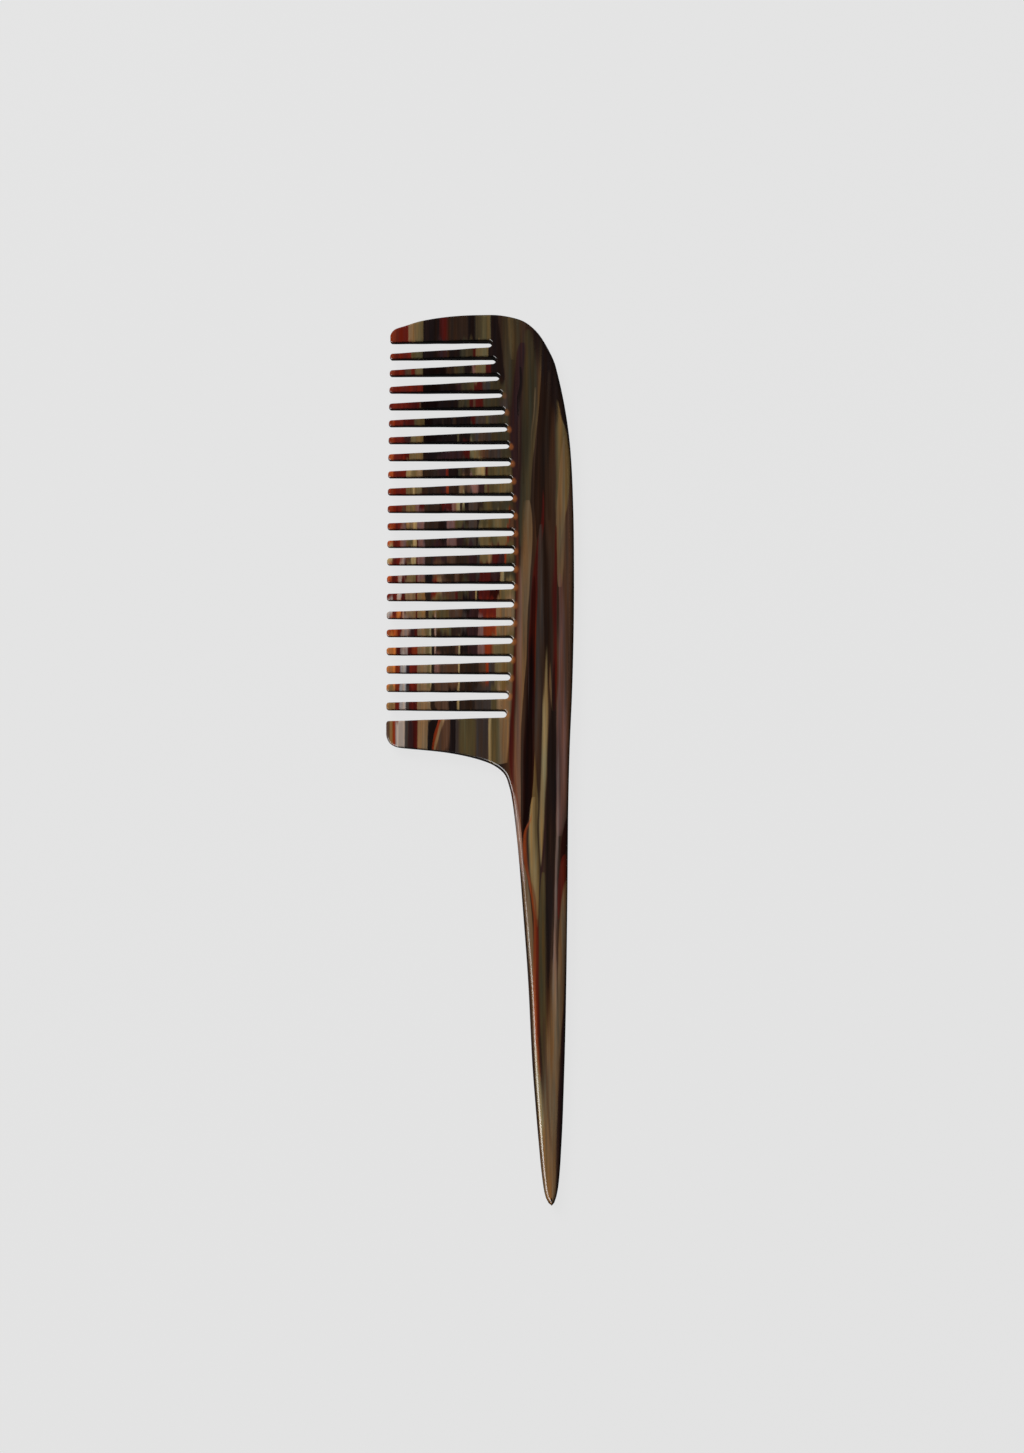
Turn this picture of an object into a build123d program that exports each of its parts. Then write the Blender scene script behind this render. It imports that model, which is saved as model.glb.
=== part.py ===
from build123d import *
import os

# Tail comb cut from one laminated acetate sheet.  Millimetres.
# It lies flat: +Y runs along the comb toward its head, the teeth point toward -X, and +Z stands
# out of the front face.  The back face of the sheet is z = 0, and front and back are alike.
# The comb is one physical piece.  Its features are solids that meet face to face: the spine,
# the tail, the two end guards, and each of the teeth.

THICK = 4.5                 # sheet thickness, kept along the spine
MID = THICK / 2
TIP_THICK = 1.5             # what the bevelled faces leave at the tooth tips

SLOT_COUNT = 22             # saw slots: 21 teeth between the two end guards
FIRST_SLOT_Y = 100.3        # centre of the slot beside the head guard, at its root
FIRST_PITCH = 4.12          # root pitch at the head ...
PITCH_STEP = 0.0195         # ... and how much further each next slot is
KERF = 1.75                 # slot width at its full-round root
MOUTH_WIDTH = 2.6           # slot width between the tooth tips
HEAD_SLANT = 0.85           # how far the slot mouth hangs toward the tail, at the head ...
TAIL_SLANT = 0.28           # ... and at the tail guard
TIP_X = -22.5               # mean line of the tooth tips
CUTTER_X = -30.0            # the slot cutters run out past the tips to here

BEVEL_X = 9.3               # where the bevels start, halfway along the teeth ...
BEVEL_Y = 45.0
BEVEL_ARC = 530.0           # ... and the radius, from above, of the line they start from
BEVEL_EASE = 20.0           # radius that blends the flat face into the bevel

EDGE_ROUND = 0.5            # polished edges
TIP_ROUND = 0.6             # tooth tip corners, seen from above
ROOT_BACK = 0.3             # each tooth starts this far outside the round ends of its slots
HEAD_GUARD_X = 1.5          # the end guards start here
TAIL_GUARD_X = 3.0
TAIL_Y = -14.0              # the tail starts here
GAUGE = 10.0                # more than the sheet's thickness, for cutting right through

# tail, from the spine to its end: height, left side, right side, thickness, edge round
TAIL_SECTIONS = [(TAIL_Y, 8.1, 21.18, THICK, EDGE_ROUND), (-25, 9.35, 21.05, 4.4, 0.9),
                 (-44, 10.85, 20.82, 4.25, 1.3), (-63, 11.95, 20.45, 4.05, 1.6),
                 (-82, 13.1, 19.95, 3.8, 1.7), (-94, 14.1, 19.4, 3.55, 1.65),
                 (-103, 15.05, 18.7, 3.2, 1.5), (-107.5, 15.75, 18.35, 2.6, 1.2)]
TAIL_END_ROUND = 1.1


def gullet_x(y):
    """Where the slot whose root is at height y ends: the slot ends lie on a shallow arch."""
    reach = (y - 47) / 53 if y > 47 else (47 - y) / 37.5
    drop = 5.4 if y > 47 else 1.9
    return 8.25 - drop * reach ** 2.4


def is_upright(edge):
    return abs((edge @ 1 - edge @ 0).Z) > 0.95 * edge.length


def polish(solid, is_joint):
    """Round the rims of the sawn sides, but not where the solid meets its neighbours."""
    rims = ShapeList()
    for side in solid.faces():
        if abs(side.normal_at().Z) < 0.3 and not is_joint(side.center()):
            rims += [edge for edge in side.edges() if not is_upright(edge)]
    return fillet(rims, EDGE_ROUND)


def region(x, low, high):
    """Everything left of x between two heights."""
    return Pos((x + CUTTER_X) / 2, (low + high) / 2, MID) * Box(x - CUTTER_X, high - low, GAUGE)


# outline of the head from above: back, waist, tail joint, tail guard, tips and head guard
back_edge = Spline((-20.2, 104.45), (-15, 106.05), (-10, 106.9), (-5, 107.35), (0, 107.5), (4.7, 107.4),
                   (9.6, 106.3), (14.4, 102.45), (18.2, 94.9), (20.6, 84.3), (22, 71.5), (22.7, 50),
                   tangents=((4, 1.9), (0, -1)))
waist_edge = Bezier((22.7, 50), (22.75, 30), (21.7, 8), (21.18, TAIL_Y))
tail_joint = Line((21.18, TAIL_Y), (8.1, TAIL_Y))
guard_edge = Spline((8.1, TAIL_Y), (7.1, -8.2), (5.3, -4.05), (1.9, -1.9), (-2.5, -0.55), (-8, 0.5),
                    (-16, 1.32), (-20.2, 1.8), tangents=((-0.14, 1), (-4, 0.6)))
tail_guard_tip = Spline((-20.2, 1.8), (-22, 2.95), (-22.7, 5), tangents=((-4, 0.6), (0, 1)))
tips_line = Spline((-22.7, 5), (-22.68, 20), (-22.5, 60), (-22.1, 100), (-22.1, 102), tangents=((0, 1), (0, 1)))
head_guard_tip = Spline((-22.1, 102), (-21.6, 103.6), (-20.2, 104.45), tangents=((0, 1), (4, 1.9)))
outline = make_face([back_edge, waist_edge, tail_joint, guard_edge, tail_guard_tip, tips_line, head_guard_tip])

# both faces, turned about a far upright axis: flat over the spine, then a bevel down to the tips
fall = (THICK - TIP_THICK) / 2 * (BEVEL_X - CUTTER_X) / (BEVEL_X - TIP_X)
profile = make_face(Polyline((40, -MID), (40, MID), (BEVEL_X, MID), (CUTTER_X, MID - fall),
                             (CUTTER_X, fall - MID), (BEVEL_X, -MID), close=True))
profile = fillet(profile.vertices().filter_by_position(Axis.X, BEVEL_X - 0.1, BEVEL_X + 0.1), BEVEL_EASE)
profile = Location((0, BEVEL_Y, MID), (90, 0, 0)) * profile
grinder = Axis((BEVEL_X - BEVEL_ARC, BEVEL_Y, 0), (0, 0, 1))
head = extrude(outline, THICK) & revolve(profile.rotate(grinder, -12), grinder, 24)

# saw slots: a full-round root that opens evenly to the mouth
slots, roots, gaps = [], [], []
y = FIRST_SLOT_Y
for i in range(SLOT_COUNT):
    slant = HEAD_SLANT + (TAIL_SLANT - HEAD_SLANT) * i / (SLOT_COUNT - 1)
    x = gullet_x(y) - KERF / 2
    stretch = (x - CUTTER_X) / (x - TIP_X)
    root = Location((x, y), 180) * Circle(KERF / 2)
    mouth = Pos(CUTTER_X, y - slant * stretch) * Circle((KERF + (MOUTH_WIDTH - KERF) * stretch) / 2)
    slots.append(extrude(make_hull(root.edges() + mouth.edges()), THICK))
    roots.append(x)
    gaps.append(y - slant / 2)
    y -= FIRST_PITCH + PITCH_STEP * i
head -= slots
head = fillet(ShapeList(edge for edge in head.edges() if is_upright(edge) and edge.center().X < TIP_X + 1
                        and TAIL_GUARD_X < edge.center().Y < 101.5), TIP_ROUND)

# the head comes apart into the guards, the teeth and the spine
nodes = {}
cuts = [("head_guard", HEAD_GUARD_X, gaps[0], 110), ("tail_guard", TAIL_GUARD_X, -4, gaps[-1])]
for i in range(SLOT_COUNT - 1):
    cuts.append((f"tooth_{i + 1:02d}", min(roots[i], roots[i + 1]) - ROOT_BACK, gaps[i + 1], gaps[i]))
for name, x, low, high in cuts:
    nodes[name] = polish(head & region(x, low, high), lambda at: abs(at.X - x) < 0.01)
    head -= region(x, low, high)
joints_x = [x for name, x, low, high in cuts]
nodes["spine"] = polish(head, lambda at: abs(at.Y - TAIL_Y) < 0.01 or min(abs(at.X - x) for x in joints_x) < 0.001)

# the tail: its edges round off until it is nearly oval, and it ends in a blunt round point
sections = []
for y, left, right, thick, edge_round in TAIL_SECTIONS:
    sections.append(Location(((left + right) / 2, y, MID), (90, 0, 0)) * RectangleRounded(right - left, thick, edge_round))
tail = loft(sections)
nodes["tail"] = fillet(tail.faces().sort_by(Axis.Y)[0].edges(), TAIL_END_ROUND)

os.makedirs("parts", exist_ok=True)
for name, solid in nodes.items():
    solid.label = name
    export_step(solid, f"parts/{name}.step")
whole = Compound(list(nodes.values())).bounding_box()
print("overall", whole.min, whole.max)
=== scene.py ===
"""A tail comb, sawn, filed and polished from one sheet of laminated horn-pattern acetate."""
import math

import bmesh
import bpy
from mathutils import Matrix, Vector, noise


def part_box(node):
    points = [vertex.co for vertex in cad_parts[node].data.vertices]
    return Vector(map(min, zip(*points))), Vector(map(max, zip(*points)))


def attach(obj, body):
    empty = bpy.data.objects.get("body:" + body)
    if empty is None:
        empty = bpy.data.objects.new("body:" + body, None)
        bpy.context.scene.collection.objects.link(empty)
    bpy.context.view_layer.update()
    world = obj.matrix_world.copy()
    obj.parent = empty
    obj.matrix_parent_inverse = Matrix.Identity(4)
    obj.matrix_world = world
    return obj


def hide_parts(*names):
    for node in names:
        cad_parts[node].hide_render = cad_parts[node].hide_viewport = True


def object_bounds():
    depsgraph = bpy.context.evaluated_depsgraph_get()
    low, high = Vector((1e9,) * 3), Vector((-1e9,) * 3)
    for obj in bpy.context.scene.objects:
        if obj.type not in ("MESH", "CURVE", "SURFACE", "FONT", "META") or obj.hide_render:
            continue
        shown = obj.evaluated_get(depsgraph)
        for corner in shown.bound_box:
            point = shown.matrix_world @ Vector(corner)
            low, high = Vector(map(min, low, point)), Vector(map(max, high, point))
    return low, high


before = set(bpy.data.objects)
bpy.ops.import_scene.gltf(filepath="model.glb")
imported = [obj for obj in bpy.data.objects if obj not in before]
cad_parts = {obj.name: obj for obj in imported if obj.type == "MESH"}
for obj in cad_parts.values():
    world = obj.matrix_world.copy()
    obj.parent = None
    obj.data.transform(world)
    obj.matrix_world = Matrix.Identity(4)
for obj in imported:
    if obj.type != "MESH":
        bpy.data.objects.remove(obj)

cad_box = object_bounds()
MM = 0.001
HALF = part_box("spine")[1].z / 2 / MM                  # half the sheet's thickness, mm

# ---------------------------------------------------------------- sizes, mm, in the comb's own frame
SLOTS = 22
FIRST_SLOT_Y = 100.3        # slot next to the head guard, at its root
FIRST_PITCH = 4.12
PITCH_STEP = 0.0195
KERF = 1.75
MOUTH_WIDTH = 2.6
ARCH_X, ARCH_Y = 8.25, 47.0  # the slot ends lie on a shallow arch, with its crown here
ARCH_TO_HEAD = (53.0, 5.4)  # from its crown, how far the arch runs toward the head and how much it falls ...
ARCH_TO_TAIL = (37.5, 1.9)  # ... and the same toward the tail
ARCH_POWER = 2.4
TIP_X = -22.7               # the tooth tips, near the tail guard ...
TIP_SET_BACK = 0.6          # ... and how much further back they are at the head
SET_BACK_FROM, SET_BACK_RUN = 30, 70
SLANTS = (0.85, 0.28)       # how far the slots hang toward the tail, at the head and at the tail guard
TIP_CORNER = 0.66           # rounding of a tooth tip, seen from above
HAND_WOBBLE = 0.07          # how far hand filing leaves a flank off its straight line ...
WOBBLE_LENGTH = 5.5         # ... and the length of those waves
WOBBLE_ENDS = 8             # they die out over an eighth of the flank at each end
CREASE_X = 8.4              # where the faces begin to bevel, halfway along the teeth
CREASE_Y = 42.0
CREASE_ARC = 530.0
CREASE_EASE = 1.3
BEVEL_SLOPE = 0.0485
TAIL_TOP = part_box("tail")[1].y / MM
END_Y = cad_box[0].y / MM
TAIL_THINNING = 0.95        # how much each face drops by the tail's end
STEP = 0.9                  # spacing of the points along the outline
ROUND_STEPS = 7             # facets of a polished edge's quarter round
ROUND_BLEND = 6             # points over which one rounding runs into the next
SAWN_ROUND = Vector((0.42, 0.42))       # how wide and how deep an edge is rounded: round the teeth,
GUARD_ROUND = Vector((0.5, 0.45))       # along the guards
BACK_ROUND = Vector((1.1, 1.0))         # and on the spine's back,
BACK_FROM, BACK_RUN = -4, 16            # which it grows to over this stretch across the comb
TAIL_WIDER, TAIL_DEEPER = 2.6, 0.75     # what the tail's edge gains on the back's ...
END_NARROWER, END_SHALLOWER = 0.1, 0.7  # ... and what it loses again by its end
GAP = 0.3 * MM              # a node's box grows by this to take in all of its tooth
JOINT_REACH = 4 * MM
FACE_CUTS_X = [-20.5 + 1.5 * i for i in range(22)]      # the faces are cut here, to be bent
FACE_CUTS_Y = [-105.1 + 3.0 * i for i in range(71)]

# The outline from above: the back, the tail's end, its side with the tail guard's, and the guards' tips.
BACK = [(-18.6, 104.95), (-15, 106.05), (-10, 106.9), (-5, 107.35), (0, 107.5), (4.7, 107.4), (9.6, 106.35),
        (12.1, 104.9), (14.5, 102.4), (17, 98.1), (18.3, 94.9), (20.6, 84.3), (21.9, 74.0), (22.55, 60),
        (22.7, 45), (22.6, 31), (22.2, 15.7), (21.55, 1), (21.15, -15), (20.95, -35), (20.5, -63),
        (19.9, -83), (19.5, -92), (18.85, -101.4)]
TAIL_END = [(18.1, -105.7), (17.1, -107.45), (15.75, -105.7)]
TAIL_SIDE = [(14.85, -101), (13.95, -92), (13.15, -82.5), (12.45, -73), (11.5, -54), (10.1, -35), (9.3, -25),
             (8.35, -15.8), (7.55, -10), (6.9, -7.3), (6.0, -4.9), (4.3, -3.2), (1.9, -1.9), (-2.5, -0.55),
             (-8, 0.5), (-14, 1.15), (-19.0, 1.6)]
TAIL_GUARD_TIP = [(-20.6, 1.95), (-21.9, 2.8), (-22.6, 4.2)]
HEAD_GUARD_TIP = [(-22.1, 102.6), (-21.6, 103.6), (-20.7, 104.3)]


def tip_x(y):
    """The line of the tooth tips: nearly straight, set back a little toward the head."""
    return TIP_X + TIP_SET_BACK * max(0.0, (y - SET_BACK_FROM) / SET_BACK_RUN) ** 2


def gullet_x(y):
    """Where the slot whose root is at height y ends."""
    run, fall = ARCH_TO_HEAD if y > ARCH_Y else ARCH_TO_TAIL
    return ARCH_X - fall * (abs(y - ARCH_Y) / run) ** ARCH_POWER


def slot_rows():
    """Root centre, mouth height and number of each slot, from the head to the tail guard."""
    y, rows = FIRST_SLOT_Y, []
    for i in range(SLOTS):
        slant = SLANTS[0] + (SLANTS[1] - SLANTS[0]) * i / (SLOTS - 1)
        rows.append((i, gullet_x(y) - KERF / 2, y, y - slant))
        y -= FIRST_PITCH + PITCH_STEP * i
    return rows


def smooth_through(points, closed_by):
    """A smooth line through the points, with a point about every STEP; closed_by are its neighbours."""
    chain = [Vector(p) for p in [closed_by[0], *points, closed_by[1]]]
    line = []
    for a, b, c, d in zip(chain, chain[1:], chain[2:], chain[3:]):
        span = (c - b).length
        leave = (c - a) / ((c - b).length + (b - a).length)
        arrive = (d - b) / ((d - c).length + (c - b).length)
        count = max(2, round(span / STEP))
        for k in range(count):
            t = k / count
            straight = b + (c - b) * t * t * (3 - 2 * t)
            line.append(straight + span * t * (1 - t) * (leave * (1 - t) - arrive * t))
    return line


def arc(x, y, radius, start, end, count):
    """Points on an arc, angles in degrees, its last point left out."""
    turn = (end - start) / count
    angles = [math.radians(start + turn * k) for k in range(count)]
    return [Vector((x + radius * math.cos(a), y + radius * math.sin(a))) for a in angles]


def flank(row, side, inward):
    """One flank of a slot: side is +1 on its head side, inward runs from the mouth to the root."""
    number, root, root_y, mouth_y = row
    start = tip_x(mouth_y) + TIP_CORNER
    count = round((root - start) / STEP)
    line = []
    for k in range(count):
        t = k / count if inward else 1 - k / count
        x = start + (root - start) * t
        y = mouth_y + (root_y - mouth_y) * t
        half_width = (MOUTH_WIDTH + (KERF - MOUTH_WIDTH) * t) / 2
        wave = noise.noise(Vector((x / WOBBLE_LENGTH, number * 3.1, side * 9.7)))
        wobble = wave * HAND_WOBBLE * min(1, WOBBLE_ENDS * t, WOBBLE_ENDS * (1 - t))
        line.append(Vector((x, y + side * (half_width + wobble))))
    return line


def outer_line():
    """The comb from above, from the head guard's tip round the back and the tail to the tail guard's tip."""
    return smooth_through([*HEAD_GUARD_TIP, *BACK, *TAIL_END, *TAIL_SIDE, *TAIL_GUARD_TIP, (-22.7, 5.6)],
                          ((-22.1, 101.9), (-22.7, 6.5)))


def sawn_line():
    """The slots and tooth tips, from the tail guard's tip up to the head guard's."""
    line = []
    for row in reversed(slot_rows()):
        low, high = row[3] - MOUTH_WIDTH / 2, row[3] + MOUTH_WIDTH / 2
        line += arc(tip_x(row[3]) + TIP_CORNER, low - TIP_CORNER, TIP_CORNER, 180, 90, 6)
        line += flank(row, -1, True)
        line += arc(row[1], row[2], KERF / 2, -90, 90, 16)
        line += flank(row, +1, False)
        line += arc(tip_x(row[3]) + TIP_CORNER, high + TIP_CORNER, TIP_CORNER, 270, 180, 6)
    return line


def half_thick(x, y):
    """Half the comb's thickness: full over the spine, bevelled to the tips, and thinning down the tail."""
    if y < TAIL_TOP:
        return HALF - TAIL_THINNING * ((TAIL_TOP - y) / (TAIL_TOP - END_Y)) ** 3
    past = CREASE_X - (y - CREASE_Y) ** 2 / (2 * CREASE_ARC) - x
    eased = 0 if past < -CREASE_EASE else past
    if abs(past) < CREASE_EASE:
        eased = (past + CREASE_EASE) ** 2 / (4 * CREASE_EASE)
    return HALF - BEVEL_SLOPE * eased


def edge_round(x, y):
    """How wide and how deep the outer edge is rounded: full on the spine's back, and down the tail so
    wide that its section is nearly oval, but shallower again at its end."""
    if y >= TAIL_TOP:
        return GUARD_ROUND.lerp(BACK_ROUND, min(1, max(0, (x - BACK_FROM) / BACK_RUN)))
    down = (TAIL_TOP - y) / (TAIL_TOP - END_Y)
    wider = TAIL_WIDER * down * (1 - down) ** 0.9 - END_NARROWER * down
    deeper = TAIL_DEEPER * min(1, 2 * down) - END_SHALLOWER * down ** 4
    return BACK_ROUND + Vector((wider, deeper))


def deselect():
    for thing in bpy.context.selected_objects:
        thing.select_set(False)


def edit_mesh(piece):
    return bmesh.from_edit_mesh(piece.data)


def select_faces(piece, wanted):
    """In edit mode: only the faces that wanted(face) is true of are selected."""
    bpy.ops.mesh.select_all(action="DESELECT")
    for face in edit_mesh(piece).faces:
        if wanted(face):
            face.select_set(True)
    bmesh.update_edit_mesh(piece.data)


def front_half():
    """The outline's loop is raised as the sawn wall, rolled over as the polished edge, and filled as
    the face, which is then cut across and bent to the bevels."""
    outer = outer_line()
    line = outer + sawn_line()
    count = len(line)
    inward, rounds = [], []
    for k, p in enumerate(line):
        along = (line[(k + 1) % count] - p).normalized() + (p - line[k - 1]).normalized()
        inward.append(Vector((along.y, -along.x)).normalized())
        rounds.append(edge_round(p.x, p.y) if k < len(outer) else SAWN_ROUND)
    for _ in range(ROUND_BLEND):
        rounds = [(rounds[k - 1] + 2 * rounds[k] + rounds[(k + 1) % count]) / 4 for k in range(count)]
    deselect()
    bpy.ops.mesh.primitive_circle_add(vertices=count, radius=1, fill_type="NOTHING")
    comb = bpy.context.object
    for v, p in zip(comb.data.vertices, line):
        v.co = (p.x, p.y, 0)
    comb.data.attributes.new("station", "INT", "POINT").data.foreach_set("value", list(range(count)))
    bpy.ops.object.mode_set(mode="EDIT")
    for step in range(ROUND_STEPS + 1):
        bpy.ops.mesh.extrude_region_move()
        mesh = edit_mesh(comb)
        station = mesh.verts.layers.int["station"]
        angle = math.pi / 2 * step / ROUND_STEPS
        for v in mesh.verts:
            if v.select:
                wide, deep = rounds[v[station]]
                place = line[v[station]] + inward[v[station]] * wide * (1 - math.cos(angle))
                v.co = (place.x, place.y, half_thick(place.x, place.y) - deep * (1 - math.sin(angle)))
        bmesh.update_edit_mesh(comb.data)
    bpy.ops.mesh.edge_face_add()
    known = len(edit_mesh(comb).verts)
    for face in edit_mesh(comb).faces:
        face.material_index = 1 if face.select else 0
    bmesh.update_edit_mesh(comb.data)
    cuts = [((x, 0, 0), (1, 0, 0)) for x in FACE_CUTS_X] + [((0, y, 0), (0, 1, 0)) for y in FACE_CUTS_Y]
    for place, normal in cuts:
        select_faces(comb, lambda face: face.material_index == 1)
        bpy.ops.mesh.bisect(plane_co=place, plane_no=normal)
    mesh = edit_mesh(comb)
    mesh.verts.ensure_lookup_table()
    for v in mesh.verts[known:]:
        v.co.z = half_thick(v.co.x, v.co.y)
    for face in mesh.faces:
        face.material_index = 0
    bmesh.update_edit_mesh(comb.data)
    bpy.ops.object.mode_set(mode="OBJECT")
    return comb


def comb_body():
    """The whole comb in one closed mesh: the front half and its mirror image."""
    comb = front_half()
    mirror = comb.modifiers.new("back", "MIRROR")
    mirror.use_axis = (False, False, True)
    mirror.merge_threshold = 1e-4
    bpy.ops.object.modifier_apply(modifier=mirror.name)
    bpy.ops.object.mode_set(mode="EDIT")
    bpy.ops.mesh.select_all(action="SELECT")
    bpy.ops.mesh.normals_make_consistent(inside=False)
    bpy.ops.object.mode_set(mode="OBJECT")
    for v in comb.data.vertices:
        v.co = (v.co.x * MM, v.co.y * MM, (v.co.z + HALF) * MM)
    comb.data.attributes.remove(comb.data.attributes["station"])
    return comb


def split_off(comb, name, plane, beyond):
    """Saw the faces that cross a joint's plane, and part off what lies beyond it as a piece of its own."""
    deselect()
    bpy.context.view_layer.objects.active = comb
    comb.select_set(True)
    bpy.ops.object.mode_set(mode="EDIT")
    place, normal = plane
    side = Vector(normal)

    def spans(face):
        reach = [side.dot(v.co - Vector(place)) for v in face.verts]
        return min(reach) < 0 < max(reach) and beyond(face.calc_center_median(), JOINT_REACH)

    select_faces(comb, spans)
    bpy.ops.mesh.bisect(plane_co=place, plane_no=normal)
    select_faces(comb, lambda face: beyond(face.calc_center_median(), 0))
    bpy.ops.mesh.separate(type="SELECTED")
    bpy.ops.object.mode_set(mode="OBJECT")
    piece = next(thing for thing in bpy.context.selected_objects if thing is not comb)
    piece.name = name
    deselect()
    return piece


def finish_piece(piece, node, material):
    """Cap the joint, smooth the polished faces, and put the piece in its node's place."""
    deselect()
    bpy.context.view_layer.objects.active = piece
    piece.select_set(True)
    bpy.ops.object.mode_set(mode="EDIT")
    bpy.ops.mesh.select_all(action="SELECT")
    bpy.ops.mesh.fill_holes(sides=0)
    bpy.ops.object.mode_set(mode="OBJECT")
    bpy.ops.object.shade_smooth_by_angle(angle=math.radians(40))
    weighted = piece.modifiers.new("polish", "WEIGHTED_NORMAL")
    weighted.keep_sharp = True
    bpy.ops.object.modifier_apply(modifier=weighted.name)
    piece.data.materials.clear()
    piece.data.materials.append(material)
    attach(piece, "root")
    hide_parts(node)


def comb_pieces(material):
    """The tail, the guards and the teeth are parted off in turn, and what is left is the spine."""
    comb = comb_body()
    low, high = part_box("tail")
    tail = split_off(comb, "polished_tail", ((0, high.y, 0), (0, 1, 0)),
                     lambda at, reach: at.y < high.y + reach)
    finish_piece(tail, "tail", material)
    nodes = [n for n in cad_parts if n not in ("spine", "tail")]
    for node in sorted(nodes):
        low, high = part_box(node)
        piece = split_off(comb, "polished_" + node, ((high.x, 0, 0), (1, 0, 0)),
                          lambda at, reach: at.x < high.x + reach and low.y - GAP < at.y < high.y + GAP)
        finish_piece(piece, node, material)
    comb.name = "polished_spine"
    finish_piece(comb, "spine", material)


# ---------------------------------------------------------------- laminated acetate
# Cellulose acetate sheet, pressed from dyed layers and sliced across them, so that the layers'
# edges show as long flames.  The colours are those of the layers, as sRGB; flare is also the painted glow's
# orange.
DYES = {
    "flare": "B56E40", "ember": "93472B", "rust": "74301F", "brick": "5E211A", "oxblood": "451714",
    "clot": "270C09", "rose": "70504A", "blush": "8E7468", "pearl": "A3948A", "cream": "94805C",
    "tan": "7A6046", "khaki": "665438", "olive": "50442D", "moss": "3A3224", "amber": "84623E",
    "hazel": "4C362A", "umber": "2D2019", "plum": "2F1D1E", "smoke": "3B312C", "soot": "1A1211",
    "pitch": "100706",
}
FIELD_LEFT, FIELD_RIGHT = -24.0, 10.0       # the toothed field's rows cover this much of the width, mm
COURSE_TOP = 110.0                          # flames run between this height and as far below zero, mm
BAND_SOFT = 0.15                            # a band's left side, where its row doesn't say, mm
STAGGER = 7.0                               # mm over which the height of the handover to the next row varies
HANDOVER = 1.0                              # and how far it reaches each way
LAYER_LEAN = 0.35                           # how far they lean across the comb for each mm of depth
DRIFT, RIPPLE = 0.6, 0.5                    # how far the layers wander and ripple across the comb, mm
SLANT = 0.3                                 # mm across for each mm down, in a patch of the tail guard
SLANT_Y = 5.0
SLANT_PATCH_X = ((-13.0, -10.5), (-6.8, -8.8))      # the patch fades in over these stretches
SLANT_PATCH_Y = (12.0, 9.0)
CREASE_PATTERN_X, CREASE_BLEND = CREASE_X - 0.2, 0.35
BELOW_TEETH = (-2.0, -4.5)                  # between these heights the spine's pattern takes over ...
OVER_CREASE = 20.0                          # ... as all that lies below them counts as past the crease
WIDEST_MIDDLE, WIDEST_HALF = 24.0, 2.5      # the most that a flame's course can hold, mm
POINT = (0.02, 0.15)                        # half widths between which a flame's point fades, mm
MEAN_PITCH = 4.3
# The glow at a slot's end is painted light: a warm patch in the colour for light shining through the thin
# rim.
GLOW_PAST, GLOW_BELOW = 0.3, 0.45           # centre of the glow at a slot's end, mm from that end ...
GLOW_LONG, GLOW_HIGH = 0.88, 1.2            # ... and how far it spreads each way
GLOW_CORE = 0.7                             # share of the way in where it is at its full strength
GLOW_HEAD, GLOW_TAIL = (93.0, 78.0), (5.0, 12.0)    # it fades in over these heights from each end, mm
GLOW = 0.35
TONE, HAIR = 1.7, 1.1                       # span from the darkest sub-layer to the lightest, in doublings
DEEPEN = 0.1                                # and how far the whole pattern is deepened, in the same
WARMTH = 0.9                                # span of the red and blue from a warm sub-layer to an olive one
GLOSS = 0.02                                # roughness that the buffing wheel reaches at best ...
STROKE_ROUGH, HANDLED_ROUGH = 0.12, 0.14    # ... and the most that its strokes and handling add
TIP_ROUGH = 0.12                            # roughness of the worn tooth tips, before those
WORN = (-21.2, -22.4)                       # the wear sets in between these places across the comb, mm
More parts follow.
